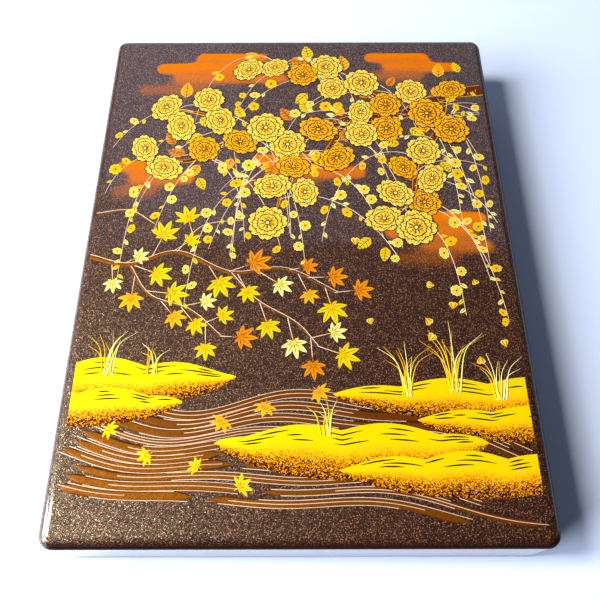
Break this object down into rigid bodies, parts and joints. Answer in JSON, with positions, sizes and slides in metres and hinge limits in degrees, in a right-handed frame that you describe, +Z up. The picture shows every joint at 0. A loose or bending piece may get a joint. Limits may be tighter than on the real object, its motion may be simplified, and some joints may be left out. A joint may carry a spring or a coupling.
{
  "type": "lacquer document box",
  "caption": "Shallow lacquered box for papers: a mitred tray on a flush plinth, covered to the plinth by a crowned lid with a rolled edge that lifts off.",
  "frame": {"origin": "on the table, under the middle of the closed box", "axes": "+Z up; +Y towards the back, along the box's length; +X to the right"},
  "size_m": [0.258, 0.342, 0.048],
  "materials": {
    "sprinkled_lacquer": "gold powder sprinkled on dark brown lacquer under a polished clear coat",
    "black_lacquer": "polished black lacquer",
    "bare_magnolia": "bare planed wood",
    "gold_maki_e": "burnished gold powder on raised lacquer",
    "bamboo": "bare split bamboo"
  },
  "bodies": {
    "tray": {"tray_front_wall": "black_lacquer", "tray_back_wall": "black_lacquer", "tray_left_wall": "black_lacquer", "tray_right_wall": "black_lacquer", "tray_corner_splines": "bare_magnolia", "floor_panel": "black_lacquer", "plinth_front_rail": "sprinkled_lacquer", "plinth_back_rail": "sprinkled_lacquer", "plinth_left_rail": "sprinkled_lacquer", "plinth_right_rail": "sprinkled_lacquer", "plinth_pegs": "bamboo"},
    "lid": {"lid_top_board": "sprinkled_lacquer", "lid_front_wall": "sprinkled_lacquer", "lid_back_wall": "sprinkled_lacquer", "lid_left_wall": "sprinkled_lacquer", "lid_right_wall": "sprinkled_lacquer", "lid_corner_splines": "bare_magnolia"}
  },
  "joints": [
    {"name": "lid_lift", "type": "slide", "parent": "tray", "child": "lid", "axis": [0, 0, 1], "range_m": [0, 0.08]}
  ]
}
